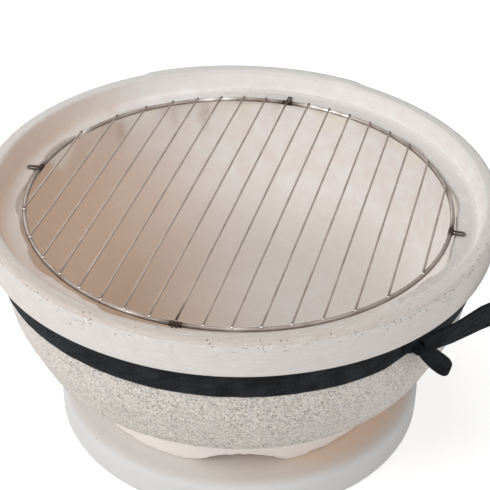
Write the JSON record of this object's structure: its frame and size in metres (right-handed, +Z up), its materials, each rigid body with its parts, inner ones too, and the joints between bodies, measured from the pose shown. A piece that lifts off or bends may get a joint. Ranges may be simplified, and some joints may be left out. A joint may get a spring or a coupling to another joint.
{
  "type": "tabletop tandoor",
  "caption": "Round clay tabletop tandoor: a bowl with a wire grate in its rim, a vented foot ring on a round plate, and a webbing strap with lifting loops.",
  "frame": {"origin": "on the bowl's axis, at the underside of the base plate", "axes": "+Z up, -Y towards the front, +X through the middle of the right loop's side, the grate's rods along Y"},
  "size_m": [0.4238, 0.3672, 0.189],
  "materials": {
    "chamotte_clay": "fired chamotte clay, gritty and unglazed",
    "smooth_clay": "fired clay, smooth and unglazed",
    "grate_steel": "bright plated wire",
    "collar_steel": "dark weld-stained steel",
    "webbing": "flat woven webbing, black"
  },
  "bodies": {
    "base": {"base_plate": "smooth_clay"},
    "bowl": {"foot_ring": "smooth_clay", "bowl": "chamotte_clay", "strap_band": "webbing", "right_front_knot": "webbing", "right_front_tail": "webbing", "right_rear_knot": "webbing", "right_rear_tail": "webbing", "left_front_knot": "webbing", "left_front_tail": "webbing", "left_rear_knot": "webbing", "left_rear_tail": "webbing"},
    "grate": {"grate_ring": "grate_steel", "grate_rod_01": "grate_steel", "grate_rod_02": "grate_steel", "grate_rod_03": "grate_steel", "grate_rod_04": "grate_steel", "grate_rod_05": "grate_steel", "grate_rod_06": "grate_steel", "grate_rod_07": "grate_steel", "grate_rod_08": "grate_steel", "grate_rod_09": "grate_steel", "grate_rod_10": "grate_steel", "grate_rod_11": "grate_steel", "grate_rod_12": "grate_steel", "grate_rod_13": "grate_steel", "grate_rod_14": "grate_steel", "grate_rod_15": "grate_steel", "grate_rod_16": "grate_steel", "grate_rod_17": "grate_steel", "grate_lug_1": "grate_steel", "grate_lug_2": "grate_steel", "grate_lug_3": "grate_steel", "grate_lug_4": "grate_steel", "grate_collar_1": "collar_steel", "grate_collar_2": "collar_steel", "grate_collar_3": "collar_steel", "grate_collar_4": "collar_steel"},
    "right_handle": {"right_loop": "webbing"},
    "left_handle": {"left_loop": "webbing"}
  },
  "joints": [
    {"name": "bowl_lift", "type": "slide", "parent": "base", "child": "bowl", "axis": [0, 0, 1], "range_m": [0, 0.08]},
    {"name": "grate_lift", "type": "slide", "parent": "bowl", "child": "grate", "axis": [0, 0, 1], "range_m": [0, 0.06]},
    {"name": "right_loop_swing", "type": "hinge", "parent": "bowl", "child": "right_handle", "pos_m": [0.15551, -0.01224, 0.1477], "axis": [0.0785, 0.9969, 0], "range_deg": [-12, 36]},
    {"name": "left_loop_swing", "type": "hinge", "parent": "bowl", "child": "left_handle", "pos_m": [-0.15551, 0.01224, 0.1477], "axis": [-0.0785, -0.9969, 0], "range_deg": [-12, 36]}
  ]
}
